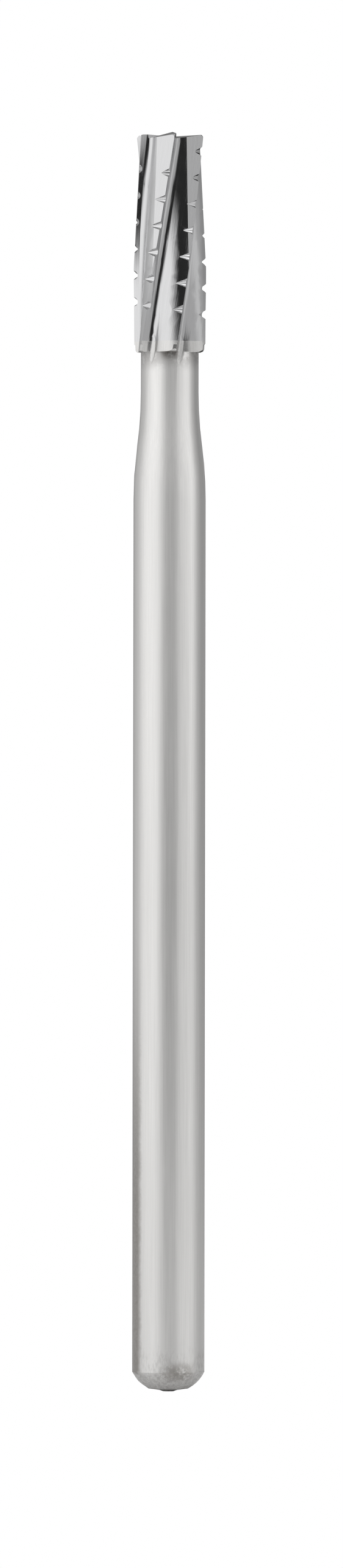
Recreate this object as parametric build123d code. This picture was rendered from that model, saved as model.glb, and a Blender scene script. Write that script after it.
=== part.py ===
from build123d import *
import math
import os

# Friction-grip crosscut fissure burr. The axis is +Z, the back end of the shank is at Z = 0 and
# the cutting head is at the top. Lengths are millimetres and angles are degrees. An azimuth is
# measured about +Z from +X. The burr cuts turning towards +azimuth.

# Shank: one turned steel blank, from the back end up to the butt joint under the carbide.
shank_diameter = 1.60
grip_length = 19.75  # plain cylinder, its rounded back end included
back_rounding_height = 0.37
back_face_radius = 0.44
back_face_rise = 0.03  # the back face is a very flat cone
back_rounding_bulge = 0.042  # how far the rounding stands out from a straight chamfer
pip_radius = 0.20  # parting pip left in the middle of the back face
pip_tip_radius = 0.12
pip_height = 0.03

# Neck: two tangent arcs waist the shank down to a plain cylinder.
neck_diameter = 1.28
waist_length = 2.36
neck_length = 0.89

# Shoulder: the head's outline begins with a stepped collar in the steel, under the carbide.
collar_diameter = 1.615
collar_length = 0.16
collar_rounding = 0.07
collar_slope_length = 0.035  # from the collar out to the full head diameter
steel_blade_length = 0.245  # from the shoulder up to the butt joint

# Head: a straight carbide blank that flares a little over the butt joint.
head_length = 4.57  # from the butt joint to the rim of the end
head_diameter = 1.60  # without the flare
base_flare = 0.032  # added to the radius at the butt joint
flare_length = 0.85
rim_rounding = 0.15
edge_stock = 0.01  # left all round on the blank, for the flutes to bring to sharp edges

# Blades and flutes.
blade_count = 6
helix_lead = 29.7  # right-handed
first_edge_azimuth = -82.5  # cutting edge of the first blade, at the rim
flute_root_radius = 0.573  # distance from the axis to the bottom of a flute
flute_root_angle = 8.0  # from a cutting edge forward to the bottom of its flute
flute_fillet = 0.145
run_out_start = 0.10  # the flutes begin to rise this far above the shoulder
run_out_length = 0.52
run_out_rise = 0.09

# Lands: one flat on each blade, leaning in towards the tip. It starts on the cutting edge part of
# the way up and widens to the rim.
flat_start = 1.645  # height above the butt joint
flat_lean = 2.90
flat_margin = 0.10  # the grinding of a land stops this far behind where it starts, clear of the blade behind

# Crosscut: half-round notches across the cutting edges, on one left-hand spiral.
notch_radius = 0.097  # at the cutting edge; a notch narrows to its tip behind the edge
notch_tip_radius = 0.012
notch_depth = 0.095
notch_reach = 17.5  # degrees behind the cutting edge where a notch fades out on the blade's back
notch_pitch = 0.585  # along the axis, for one turn of the spiral
notch_from_rim = 0.377  # first notch, below the rim
notch_first_blade = 1  # counted from the first blade, towards +azimuth
notch_from_joint = 0.38  # no notch lies lower than this above the butt joint
notch_overrun = 0.11  # how far the notching wheel passes the cutting edge

# End teeth: each blade's end is a facet that falls behind its cutting edge. The end is dished, but
# one long tooth rises to a peak beside the axis.
end_peak_height = 0.071  # above the rim
end_peak_offset = 0.06
end_dish = 0.035  # below the rim, in the middle
end_long_tooth = 0  # the first blade
end_tooth_drop = 0.12  # from a cutting edge down to the step behind it, at the rim

# Derived sizes.
shank_radius = shank_diameter / 2
neck_radius = neck_diameter / 2
collar_radius = collar_diameter / 2
head_radius = head_diameter / 2
waist_top = grip_length + waist_length
shoulder_height = waist_top + neck_length
joint_height = shoulder_height + steel_blade_length
rim_height = joint_height + head_length
peak_height = rim_height + end_peak_height
blade_pitch = 360 / blade_count
back_face_height = pip_height + back_face_rise
grip_start = back_face_height + back_rounding_height

# How far the cutters reach past the finished surface, and how closely a flute's sections lie.
outside = 0.35
rake_overrun = 0.17
back_overrun_angle = 5.0
lead_in_angle = 7.5
section_step = 0.5


def polar(radius, angle):
    return Vector(radius * math.cos(math.radians(angle)), radius * math.sin(math.radians(angle)), 0)


def crest_radius(height):
    """Radius of the cutting edges at a height."""
    flare_share = (joint_height + flare_length - max(height, joint_height)) / flare_length
    return head_radius + base_flare * max(0, flare_share) ** 2


def blank_radius(height):
    """Radius of the head's blank at a height, a plain cone, before the flutes are ground."""
    base = crest_radius(joint_height) + edge_stock
    rim = crest_radius(rim_height) + edge_stock
    return base + (rim - base) * (height - joint_height) / head_length


def back_radius(height, angle):
    """Radius of a blade's back at an angle behind its cutting edge, falling evenly to the flute root."""
    crest = crest_radius(height)
    return crest - (crest - flute_root_radius) * angle / (blade_pitch - flute_root_angle)


def edge_azimuth(blade, height):
    """Azimuth of a blade's cutting edge at a height."""
    return first_edge_azimuth + blade * blade_pitch + 360 * (height - rim_height) / helix_lead


def at(radius, height):
    return (radius, 0, height)


def shank_profile():
    """Half of the steel blank's outline, from the pip up to the butt joint."""
    waist_middle = at((shank_radius + neck_radius) / 2, grip_length + waist_length / 2)
    chord = Vector(shank_radius - back_face_radius, 0, back_rounding_height)
    bulge = Vector(chord.Z, 0, -chord.X).normalized() * back_rounding_bulge
    rounding_middle = Vector(*at(back_face_radius, back_face_height)) + chord * 0.5 + bulge
    collar_top = shoulder_height + collar_length
    head_start = collar_top + collar_slope_length
    collar_corner = at(collar_radius - collar_rounding, shoulder_height)
    collar_side = at(collar_radius, shoulder_height + collar_rounding)
    outline = [
        Line(at(0, 0), at(pip_tip_radius, 0)),
        Line(at(pip_tip_radius, 0), at(pip_radius, pip_height)),
        Line(at(pip_radius, pip_height), at(back_face_radius, back_face_height)),
        ThreePointArc(
            at(back_face_radius, back_face_height), rounding_middle, at(shank_radius, grip_start)
        ),
        Line(at(shank_radius, grip_start), at(shank_radius, grip_length)),
        TangentArc(at(shank_radius, grip_length), waist_middle, tangent=(0, 0, 1)),
        TangentArc(at(neck_radius, waist_top), waist_middle, tangent=(0, 0, -1)),
        Line(at(neck_radius, waist_top), at(neck_radius, shoulder_height)),
        Line(at(neck_radius, shoulder_height), collar_corner),
        TangentArc(collar_corner, collar_side, tangent=(1, 0, 0)),
        Line(collar_side, at(collar_radius, collar_top)),
        Line(at(collar_radius, collar_top), at(blank_radius(head_start), head_start)),
        Line(at(blank_radius(head_start), head_start), at(blank_radius(joint_height), joint_height)),
        Line(at(blank_radius(joint_height), joint_height), at(0, joint_height)),
        Line(at(0, joint_height), at(0, 0)),
    ]
    return make_face(Wire(outline))


def steel_blank():
    return revolve(shank_profile(), Axis.Z)


def carbide_blank():
    """Blank with a rounded rim, left long at the end for the end teeth."""
    end_stock = 2 * end_peak_height
    outline = Polyline(
        at(0, joint_height),
        at(blank_radius(joint_height), joint_height),
        at(blank_radius(rim_height), rim_height),
        at(0, rim_height + end_stock),
        close=True,
    )
    blank = revolve(make_face(outline), Axis.Z)
    rim = blank.edges().filter_by(GeomType.CIRCLE).sort_by(Axis.Z)[-1]
    return fillet(rim, rim_rounding)


def flute_section(height):
    """What the grinding wheel takes out between two blades, in a plane across the axis."""
    rise_share = (shoulder_height + run_out_start - height) / run_out_length
    rise = run_out_rise * max(0, rise_share) ** 2
    crest = crest_radius(height)
    root = flute_root_radius + rise
    back_slope = (crest - root) / (blade_pitch - flute_root_angle)
    back_end = blade_pitch + back_overrun_angle
    back_middle = (flute_root_angle + back_end) / 2
    edge_point = polar(crest, 0)
    root_point = polar(root, flute_root_angle)
    rake_end = edge_point + (edge_point - root_point).normalized() * rake_overrun
    back_mid_point = polar(crest - back_slope * (blade_pitch - back_middle), back_middle)
    back_end_point = polar(crest + back_slope * (back_end - blade_pitch), back_end)
    outer_radius = head_radius + base_flare + outside
    outline = [
        Line(rake_end, root_point),
        ThreePointArc(root_point, back_mid_point, back_end_point),
        Line(back_end_point, polar(outer_radius, blade_pitch)),
        Line(polar(outer_radius, blade_pitch), polar(outer_radius, -lead_in_angle)),
        Line(polar(outer_radius, -lead_in_angle), rake_end),
    ]
    face = make_face(Wire(outline))
    root_corner = face.vertices().sort_by_distance(root_point)[0]
    face = fillet(root_corner, flute_fillet)
    return Pos(0, 0, height) * Rot(0, 0, edge_azimuth(0, height)) * face


def flute_cutter(blade):
    """One flute, skinned through sections that turn along the helix."""
    bottom = shoulder_height + run_out_start - run_out_length
    top = peak_height + outside
    count = math.ceil((top - bottom) / section_step)
    heights = [bottom + (top - bottom) * i / count for i in range(count + 1)]
    cutter = loft([flute_section(height) for height in heights])
    return Rot(0, 0, blade * blade_pitch) * cutter


def land_cutter(blade):
    """Everything outside the flat land of one blade."""
    start = joint_height + flat_start
    azimuth = edge_azimuth(blade, start)
    touch = polar(crest_radius(start), azimuth) + Vector(0, 0, start)
    outward = polar(1, azimuth)
    normal = outward * math.cos(math.radians(flat_lean)) + Vector(0, 0, math.sin(math.radians(flat_lean)))
    down = polar(1, azimuth + 90).cross(normal)
    plane = Plane(origin=touch, x_dir=down, z_dir=normal)
    length = 2 * (peak_height + outside - start)
    box = Box(length, head_diameter, outside * 2, align=(Align.CENTER, Align.MIN, Align.MIN))
    return plane * Pos(0, -flat_margin, 0) * box


def notch_cutter(blade, height):
    """A tapered bar that grinds one notch, from the cutting edge back to the tip where it fades out."""
    azimuth = edge_azimuth(blade, height)
    floor = polar(crest_radius(height) - notch_depth, azimuth)
    fade = polar(back_radius(height, notch_reach), azimuth - notch_reach)
    back = (fade - floor).normalized()
    outward = Vector(-back.Y, back.X, 0)
    centre = floor + outward * notch_radius + Vector(0, 0, height)
    tip = fade + outward * notch_tip_radius + Vector(0, 0, height)
    along = (tip - centre).normalized()
    length = (tip - centre).length
    start_radius = notch_radius + (notch_radius - notch_tip_radius) * notch_overrun / length
    plane = Plane(origin=centre - along * notch_overrun, x_dir=(0, 0, 1), z_dir=along)
    bar_align = (Align.CENTER, Align.CENTER, Align.MIN)
    return plane * Cone(start_radius, notch_tip_radius, length + notch_overrun, align=bar_align)


def notch_cutters():
    first = rim_height - notch_from_rim
    step = notch_pitch / blade_count
    count = math.floor((first - joint_height - notch_from_joint) / step) + 1
    return [notch_cutter(notch_first_blade + i, first - i * step) for i in range(count)]


def end_tooth_cutter(blade):
    """Wedge above one end tooth: its floor falls from the cutting edge to the step behind it."""
    azimuth = edge_azimuth(blade, rim_height)
    reach = head_diameter
    rise = end_peak_height if blade == end_long_tooth else -end_dish
    middle = polar(end_peak_offset, first_edge_azimuth + blade_pitch) + Vector(0, 0, rim_height + rise)
    lead_slope = rise / head_radius
    tail_slope = (rise + end_tooth_drop) / head_radius
    lead = middle + polar(reach, azimuth) - Vector(0, 0, reach * lead_slope)
    tail = middle + polar(reach, azimuth - blade_pitch) - Vector(0, 0, reach * tail_slope)
    floor = [middle, lead, tail]
    roof = [Vector(p.X, p.Y, peak_height + outside) for p in floor]
    sides = [[floor[i], floor[(i + 1) % 3], roof[(i + 1) % 3], roof[i]] for i in range(3)]
    faces = [make_face(Polyline(*p, close=True)) for p in [floor, roof] + sides]
    return Solid(Shell([f.face() for f in faces]))


def carbide_head(flutes):
    head = carbide_blank()
    for blade in range(blade_count):
        head -= end_tooth_cutter(blade)
    head -= [land_cutter(blade) for blade in range(blade_count)]
    head -= flutes
    return head - notch_cutters()


def steel_shank(flutes):
    return steel_blank() - flutes


os.makedirs("parts", exist_ok=True)
flutes = [flute_cutter(blade) for blade in range(blade_count)]
export_step(carbide_head(flutes), "parts/carbide_head.step")
export_step(steel_shank(flutes), "parts/steel_shank.step")
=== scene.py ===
import bpy
import math
from mathutils import Matrix, Vector


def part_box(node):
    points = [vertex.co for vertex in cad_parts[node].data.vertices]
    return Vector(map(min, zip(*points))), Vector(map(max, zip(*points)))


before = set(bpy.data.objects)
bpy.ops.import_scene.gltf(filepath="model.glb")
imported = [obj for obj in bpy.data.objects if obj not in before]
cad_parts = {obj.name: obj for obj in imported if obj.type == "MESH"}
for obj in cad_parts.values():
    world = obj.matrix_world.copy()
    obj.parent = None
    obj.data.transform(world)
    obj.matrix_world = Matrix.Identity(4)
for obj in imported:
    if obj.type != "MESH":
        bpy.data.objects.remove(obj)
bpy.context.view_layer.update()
mm = 0.001

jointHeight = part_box("steel_shank")[1].z / mm  # in mm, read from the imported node
print("frame loaded, joint at", round(jointHeight, 3), "mm")


def newMaterial(name):
    mat = bpy.data.materials.new(name)
    mat.use_nodes = True
    mat.node_tree.nodes.clear()
    return mat, mat.node_tree


def addNode(tree, kind, inputs=None, **settings):
    node = tree.nodes.new(kind)
    for key, value in settings.items():
        setattr(node, key, value)
    for key, value in (inputs or {}).items():
        if isinstance(value, bpy.types.NodeSocket):
            tree.links.new(value, node.inputs[key])
        else:
            node.inputs[key].default_value = value
    return node


def calc(tree, operation, a, b=0.0):
    return addNode(tree, "ShaderNodeMath", {0: a, 1: b}, operation=operation).outputs[0]


def times(tree, *factors):  # product of masks
    result = factors[0]
    for factor in factors[1:]:
        result = calc(tree, "MULTIPLY", result, factor)
    return result


def plus(tree, *terms):
    result = terms[0]
    for term in terms[1:]:
        result = calc(tree, "ADD", result, term)
    return result


def inverse(tree, mask):
    return calc(tree, "SUBTRACT", 1.0, mask)


def between(tree, value, low, high):  # 0 below low, 1 above high, smooth in between
    node = addNode(tree, "ShaderNodeMapRange", {"Value": value, "From Min": low, "From Max": high},
                   interpolation_type="SMOOTHSTEP")
    return node.outputs["Result"]


def below(tree, value, low, high):  # 1 below low, 0 above high
    return inverse(tree, between(tree, value, low, high))


def swing(tree, pattern, amount):  # a noise taken about its middle
    return times(tree, calc(tree, "SUBTRACT", pattern, 0.5), amount)


def blendValue(tree, share, a, b):
    node = addNode(tree, "ShaderNodeMix", {"Factor": share, "A": a, "B": b}, data_type="FLOAT")
    return node.outputs["Result"]


def blendColour(tree, share, a, b):
    return addNode(tree, "ShaderNodeMix", {0: share, 6: a, 7: b}, data_type="RGBA").outputs[2]


def shade(tree, colour, level):  # a colour made lighter or darker by a number
    node = addNode(tree, "ShaderNodeVectorMath", {0: colour, "Scale": level}, operation="SCALE")
    return node.outputs[0]


def noise(tree, vector, scale, detail, rough):
    node = addNode(tree, "ShaderNodeTexNoise",
                   {"Vector": vector, "Scale": scale, "Detail": detail, "Roughness": rough})
    return node.outputs["Fac"]


def placeParts(tree):  # all in mm; facing is the turn from the front, in radians, plus to the right
    coords = addNode(tree, "ShaderNodeTexCoord").outputs["Object"]
    scaled = addNode(tree, "ShaderNodeVectorMath", {0: coords, "Scale": 1 / mm}, operation="SCALE").outputs[0]
    split = addNode(tree, "ShaderNodeSeparateXYZ", {0: scaled}).outputs
    x, y, z = split["X"], split["Y"], split["Z"]
    facing = calc(tree, "ARCTAN2", x, calc(tree, "MULTIPLY", y, -1.0))
    radius = calc(tree, "SQRT", plus(tree, times(tree, x, x), times(tree, y, y)))
    return scaled, x, y, z, radius, facing


def stretched(tree, x, y, z, lengthways):  # coordinates pulled out along the axis, for scratches
    return addNode(tree, "ShaderNodeCombineXYZ", {"X": x, "Y": y, "Z": times(tree, z, lengthways)}).outputs[0]


def surface(tree, **inputs):  # metal shader joined to the material's output
    sockets = {name.replace("_", " "): value for name, value in inputs.items()}
    shader = addNode(tree, "ShaderNodeBsdfPrincipled", {"Metallic": 1.0, **sockets})
    out = addNode(tree, "ShaderNodeOutputMaterial")
    tree.links.new(shader.outputs[0], out.inputs[0])


def dress(node, mat):
    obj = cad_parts[node]
    obj.data.materials.clear()
    obj.data.materials.append(mat)


# each noise is its scale, detail and roughness, and each fade is where a mask starts and is full
carbide = {
    "colour": (0.60, 0.60, 0.605),
    "endColour": (0.40, 0.40, 0.40, 1),
    "roughness": 0.08,
    "scratchRoughness": 0.20,
    "patchRoughness": 0.05,  # added in the duller patches
    "endRoughness": 0.45,
    "lead": 29.7,  # mm for one turn of the flutes
    "streak": (48.0, 3.0, 0.62),  # wheel marks that follow the flutes
    "band": (9.6, 2.0, 0.5),
    "patch": (2.2, 2.0, 0.5),
    "streakLength": 0.022,
    "streakFade": (0.55, 0.78),
    "bandFade": (0.40, 0.65),
    "patchFade": (0.45, 0.75),
    "endFade": (0.55, 0.80),  # how far a face has to look up to count as the end
    "darkest": 0.93,
    "streakTone": 0.14,
    "bumpStrength": 0.35,
    "streakDepth": 0.0035,
}


def carbideMaterial():
    mat, tree = newMaterial("ground_carbide")
    place, x, y, z, radius, facing = placeParts(tree)
    unwind = calc(tree, "SUBTRACT", facing, times(tree, z, 2 * math.pi / carbide["lead"]))
    alongFlute = stretched(tree, times(tree, calc(tree, "SINE", unwind), radius),
                           times(tree, calc(tree, "COSINE", unwind), radius), z, carbide["streakLength"])
    streak = noise(tree, alongFlute, *carbide["streak"])
    band = noise(tree, alongFlute, *carbide["band"])
    patch = noise(tree, place, *carbide["patch"])
    scratched = times(tree, between(tree, streak, *carbide["streakFade"]),
                      between(tree, band, *carbide["bandFade"]))
    normal = addNode(tree, "ShaderNodeTexCoord").outputs["Normal"]
    upward = addNode(tree, "ShaderNodeSeparateXYZ", {0: normal}).outputs["Z"]
    endFace = between(tree, upward, *carbide["endFade"])
    roughness = blendValue(tree, scratched, carbide["roughness"], carbide["scratchRoughness"])
    duller = times(tree, between(tree, patch, *carbide["patchFade"]), carbide["patchRoughness"])
    roughness = blendValue(tree, endFace, plus(tree, roughness, duller), carbide["endRoughness"])
    level = plus(tree, carbide["darkest"], times(tree, streak, carbide["streakTone"]))
    colour = blendColour(tree, endFace, shade(tree, carbide["colour"], level), carbide["endColour"])
    bump = addNode(tree, "ShaderNodeBump", {
        "Height": streak, "Strength": carbide["bumpStrength"], "Distance": carbide["streakDepth"] * mm})
    surface(tree, Base_Color=colour, Roughness=roughness, Normal=bump.outputs[0])
    return mat


dress("carbide_head", carbideMaterial())
print("carbide head dressed")


# places on the steel: heights in mm, turns in radians from the front
steel = {
    "colour": (0.815, 0.808, 0.795),
    "dull": (0.47, 0.46, 0.45, 1),  # etched film on the neck and the foot
    "paintedReflectionAndFootPatch": (0.35, 0.33, 0.31, 1),  # painted dark reflection as a stripe low on the left, and a darker patch on the foot's front
    # painted shadow under the front of the shoulder
    "shoulderShadow": (0.24, 0.225, 0.21, 1),
    "roughness": 0.37,
    "streakRoughness": 0.08,
    "groundRoughness": 0.20,  # on the flutes, which run out into the neck
    "dullRoughness": 0.48,
    "anisotropic": 0.9,
    "anisotropicTurn": 0.25,
    "bumpStrength": 0.25,
    "streakDepth": 0.0012,
    "dullGrain": 0.9,
    "streak": (30.0, 3.0, 0.6),
    "streakLength": 0.016,
    "band": (4.0, 2.0, 0.5),
    "bandLength": 0.05,
    "cloud": (3.0, 3.0, 0.6),
    "speck": (14.0, 3.0, 0.65),
    "footGrain": (16.0, 3.0, 0.6),
    "footGrainLength": 0.35,
    "brightness": 0.955,
    "streakTone": 0.22,
    "bandTone": 0.10,
    "groundTone": 0.20,
    "filmShare": 0.85,  # how much of the film and the darker patch at the foot covers the steel
    "shoulderDrop": 0.245,  # from the joint down to the shoulder
    "feetFade": 0.01,
    "neckRadius": 0.64,
    "runOutStart": (-0.6, -0.5),  # from the shoulder
    "runOutDepth": (-0.012, -0.005),  # from the neck's surface
    "speckInMottle": 0.5,
    "mottleFade": (0.5, 0.85),
    "hazeFade": (-0.48, -0.03),  # from the shoulder, dulled by the heat of the joint
    "hazeSpared": 0.85,  # how much the ground flutes escape it
    # painted shadow under the shoulder's front edge
    "shoulderShadowBottom": (-0.22, -0.01),  # from the shoulder
    "shoulderShadowTop": (0.005, 0.02),
    "shoulderShadowLeft": (-0.40, -0.12),
    "shoulderShadowRight": (0.10, 0.42),
    "footTop": (0.9, 1.6),
    "footWander": 0.9,
    "footGrainFade": (0.40, 0.66),
    "footShare": 0.45,
    "chamferTop": (0.38, 0.48),
    "chamferWander": 0.35,
    "wornFade": (0.30, 0.68),
    "wornShare": 0.75,
    # painted dark reflection: the stripe low on the left side
    "darkReflectionEdge": (-1.05, -0.80),
    "darkReflectionWander": 0.14,
    "darkReflectionBack": (-2.5, -2.0),
    "darkReflectionTop": (3.5, 11.0),
    "darkReflectionShare": 0.60,
    "darkReflectionSpeck": 0.55,
    # a darker patch on the foot's front
    "footPatchBottom": (0.15, 0.40),
    "footPatchTop": (0.46, 0.74),
    "footPatchLeft": (-0.45, 0.20),
    "footPatchRight": (0.40, 0.95),
    "footPatchFade": (0.65, 1.15),
}
shoulderHeight = jointHeight - steel["shoulderDrop"]


def groundFlutes(tree, z, radius):  # the blades' steel feet, and the run-outs cut into the neck
    rise = calc(tree, "SUBTRACT", z, shoulderHeight)
    sunk = calc(tree, "SUBTRACT", radius, steel["neckRadius"])
    runOut = times(tree, between(tree, rise, *steel["runOutStart"]), below(tree, sunk, *steel["runOutDepth"]))
    return calc(tree, "MAXIMUM", between(tree, rise, 0.0, steel["feetFade"]), runOut)


def neckHaze(tree, z, mottle, ground):
    rise = calc(tree, "SUBTRACT", z, shoulderHeight)
    spared = inverse(tree, times(tree, ground, steel["hazeSpared"]))
    return times(tree, between(tree, rise, *steel["hazeFade"]), mottle, spared)


# painted shadow: darkens the neck just under the front of the shoulder
def paintedShoulderShadow(tree, z, facing, mottle):
    rise = calc(tree, "SUBTRACT", z, shoulderHeight)
    height = times(tree, between(tree, rise, *steel["shoulderShadowBottom"]), below(tree, rise, *steel["shoulderShadowTop"]))
    return times(tree, height, mottle, between(tree, facing, *steel["shoulderShadowLeft"]),
                 below(tree, facing, *steel["shoulderShadowRight"]))


def footFilm(tree, x, y, z, cloud):
    height = plus(tree, z, times(tree, cloud, steel["footWander"]))
    grain = noise(tree, stretched(tree, x, y, z, steel["footGrainLength"]), *steel["footGrain"])
    return times(tree, below(tree, height, *steel["footTop"]), between(tree, grain, *steel["footGrainFade"]),
                 steel["footShare"])


# painted dark reflection: a dark stripe low on the steel's left side, kept off the chamfer
def paintedDarkReflection(tree, z, facing, cloud, speck, chamfer):
    wander = times(tree, calc(tree, "SUBTRACT", plus(tree, cloud, speck), 1.0), steel["darkReflectionWander"])
    edge = below(tree, plus(tree, facing, wander), *steel["darkReflectionEdge"])
    strength = plus(tree, steel["darkReflectionShare"], times(tree, speck, steel["darkReflectionSpeck"]))
    return times(tree, edge, between(tree, facing, *steel["darkReflectionBack"]), below(tree, z, *steel["darkReflectionTop"]),
                 strength, inverse(tree, chamfer))


# a darker patch on the foot's front, low on the steel
def footDarkPatch(tree, z, facing, cloud, speck):
    height = times(tree, between(tree, z, *steel["footPatchBottom"]), below(tree, z, *steel["footPatchTop"]))
    return times(tree, height, between(tree, facing, *steel["footPatchLeft"]),
                 below(tree, facing, *steel["footPatchRight"]),
                 between(tree, plus(tree, cloud, speck), *steel["footPatchFade"]), steel["filmShare"])


def steelMaterial():
    mat, tree = newMaterial("satin_steel")
    place, x, y, z, radius, facing = placeParts(tree)
    streak = noise(tree, stretched(tree, x, y, z, steel["streakLength"]), *steel["streak"])
    band = noise(tree, stretched(tree, x, y, z, steel["bandLength"]), *steel["band"])
    cloud = noise(tree, place, *steel["cloud"])
    speck = noise(tree, place, *steel["speck"])
    blotches = plus(tree, cloud, times(tree, speck, steel["speckInMottle"]))
    mottle = between(tree, blotches, *steel["mottleFade"])
    chamfer = below(tree, plus(tree, z, swing(tree, cloud, steel["chamferWander"])), *steel["chamferTop"])
    ground = groundFlutes(tree, z, radius)
    worn = times(tree, chamfer, between(tree, speck, *steel["wornFade"]), steel["wornShare"])
    film = calc(tree, "MAXIMUM", footFilm(tree, x, y, z, cloud), worn)
    dulled = calc(tree, "MAXIMUM", neckHaze(tree, z, mottle, ground), film)
    level = plus(tree, steel["brightness"], swing(tree, streak, steel["streakTone"]),
                 swing(tree, band, steel["bandTone"]))
    colour = shade(tree, steel["colour"], level)
    colour = shade(tree, colour, inverse(tree, times(tree, ground, steel["groundTone"])))
    colour = blendColour(tree, times(tree, dulled, steel["filmShare"]), colour, steel["dull"])
    # painted dark reflection: the stripe low on the left
    colour = blendColour(tree, paintedDarkReflection(tree, z, facing, cloud, speck, chamfer), colour, steel["paintedReflectionAndFootPatch"])
    # painted shadow under the shoulder's front edge
    colour = blendColour(tree, paintedShoulderShadow(tree, z, facing, mottle), colour, steel["shoulderShadow"])
    # darker patch on the foot's front
    colour = blendColour(tree, footDarkPatch(tree, z, facing, cloud, speck), colour, steel["paintedReflectionAndFootPatch"])
    roughness = plus(tree, steel["roughness"], times(tree, streak, steel["streakRoughness"]))
    roughness = blendValue(tree, ground, roughness, steel["groundRoughness"])
    roughness = blendValue(tree, dulled, roughness, steel["dullRoughness"])
    grain = plus(tree, streak, times(tree, speck, dulled, steel["dullGrain"]))
    bump = addNode(tree, "ShaderNodeBump", {
        "Height": grain, "Strength": steel["bumpStrength"], "Distance": steel["streakDepth"] * mm})
    surface(tree, Base_Color=colour, Roughness=roughness, Normal=bump.outputs[0],
            Anisotropic=steel["anisotropic"], Anisotropic_Rotation=steel["anisotropicTurn"])
    return mat


dress("steel_shank", steelMaterial())
print("steel shank dressed")


# the tent's panels: brightness, then the angles where each begins and ends, with its soft edge;
# in degrees from the camera's side, plus to the right
tent = {
    "gap": 0.03,  # what the dark gap that the camera looks through still gives back
    "level": {  # straight out from the burr
        "leftBox": (1.15, (-170, -70), (-46, -8)),
        "leftWall": (0.35, (-360, -270), (-150, -110)),
        "rightBox": (0.18, (17, 38), (92, 132)),
        "rightStrip": (0.22, (58, 80), (87, 96)),
        "rightWall": (0.35, (17, 38), (270, 360)),
    },
    "raised": {  # above and below the gap
        "front": (1.20, (-185, -80), (86, 138)),
        "leftBox": (0.20, (-90, -65), (-30, -5)),
        "rightBox": (0.60, (15, 70), (84, 92)),
    },
    "gapEnds": (0.30, 0.40),  # sine of the height angle where the gap closes
    "zenith": 0.80,
    "zenithFade": (0.55, 0.95),
    "backdrop": 1.0,
}


def addPanels(tree, turn, base, panels):
    total = base
    for brightness, start, end in panels.values():
        span = times(tree, between(tree, turn, *map(math.radians, start)),
                     below(tree, turn, *map(math.radians, end)))
        total = plus(tree, total, times(tree, span, brightness))
    return total


def lightTent():
    world = bpy.data.worlds.new("light_tent")
    world.use_nodes = True
    bpy.context.scene.world = world
    tree = world.node_tree
    tree.nodes.clear()
    direction = addNode(tree, "ShaderNodeTexCoord").outputs["Generated"]
    split = addNode(tree, "ShaderNodeSeparateXYZ", {0: direction}).outputs
    turn = calc(tree, "ARCTAN2", split["X"], times(tree, split["Y"], -1.0))
    steep = calc(tree, "ABSOLUTE", split["Z"])
    level = blendValue(tree, between(tree, steep, *tent["gapEnds"]),
                       addPanels(tree, turn, tent["gap"], tent["level"]),
                       addPanels(tree, turn, 0.0, tent["raised"]))
    level = blendValue(tree, between(tree, steep, *tent["zenithFade"]), level, tent["zenith"])
    seen = addNode(tree, "ShaderNodeLightPath").outputs["Is Camera Ray"]
    level = blendValue(tree, seen, level, tent["backdrop"])
    background = addNode(tree, "ShaderNodeBackground", {"Color": (1, 1, 1, 1), "Strength": level})
    out = addNode(tree, "ShaderNodeOutputWorld")
    tree.links.new(background.outputs[0], out.inputs[0])


lightTent()
bpy.context.scene.view_settings.view_transform = "Standard"
print("light tent up")


floor = {
    "size": 60.0,
    "drop": 0.02,  # mm under the burr's lowest point
    "paper": 0.80,
    "fibre": (0.4, 2.0, 0.5),
    "fibreTone": 0.04,
}


def layFloor():
    bpy.ops.object.select_all(action="DESELECT")
    bpy.ops.mesh.primitive_plane_add(size=floor["size"] * mm, location=(0, 0, -floor["drop"] * mm))
    obj = bpy.context.active_object
    obj.name = "studio_floor"
    mat, tree = newMaterial("white_paper")
    place = placeParts(tree)[0]
    tone = plus(tree, floor["paper"], times(tree, noise(tree, place, *floor["fibre"]), floor["fibreTone"]))
    paper = addNode(tree, "ShaderNodeBsdfDiffuse", {"Color": shade(tree, (1.0, 1.0, 1.0), tone)})
    glow = addNode(tree, "ShaderNodeEmission", {"Strength": tent["backdrop"]})
    seen = addNode(tree, "ShaderNodeLightPath").outputs["Is Camera Ray"]
    mix = addNode(tree, "ShaderNodeMixShader", {0: seen, 1: paper.outputs[0], 2: glow.outputs[0]})
    out = addNode(tree, "ShaderNodeOutputMaterial")
    tree.links.new(mix.outputs[0], out.inputs[0])
    obj.data.materials.append(mat)


layFloor()
print("floor laid")


view = {
    "pixel": 0.013479,  # mm of the burr's plane for one pixel
    "width": 564,
    "height": 2576,
    "footRow": 2285.5,  # row of the burr's lowest point
    "axisColumn": 278.1,  # column of the axis at mid length
    "distance": 340.0,  # much farther and the other views lose the burr behind the far clip
    "roll": 0.087,  # degrees, the tip leans right
    "sensor": 36.0,
    "clipStart": 0.01,  # in metres
    "clipEnd": 10.0,
}


def placeCamera():
    cam = bpy.data.cameras.new("camera")
    cam.sensor_fit = "VERTICAL"
    cam.sensor_height = view["sensor"]
    cam.lens = view["sensor"] * view["distance"] / (view["height"] * view["pixel"])
    cam.clip_start = view["clipStart"]
    cam.clip_end = view["clipEnd"]
    obj = bpy.data.objects.new("camera", cam)
    bpy.context.scene.collection.objects.link(obj)
    eyeHeight = (view["footRow"] - view["height"] / 2) * view["pixel"]
    side = (view["width"] / 2 - view["axisColumn"]) * view["pixel"]
    lookAlongY = Matrix.Rotation(math.radians(90), 4, "X")
    roll = Matrix.Rotation(math.radians(view["roll"]), 4, "Z")
    spot = Matrix.Translation(Vector((side, -view["distance"], eyeHeight)) * mm)
    obj.matrix_world = spot @ lookAlongY @ roll
    bpy.context.scene.camera = obj


placeCamera()
print("camera placed")
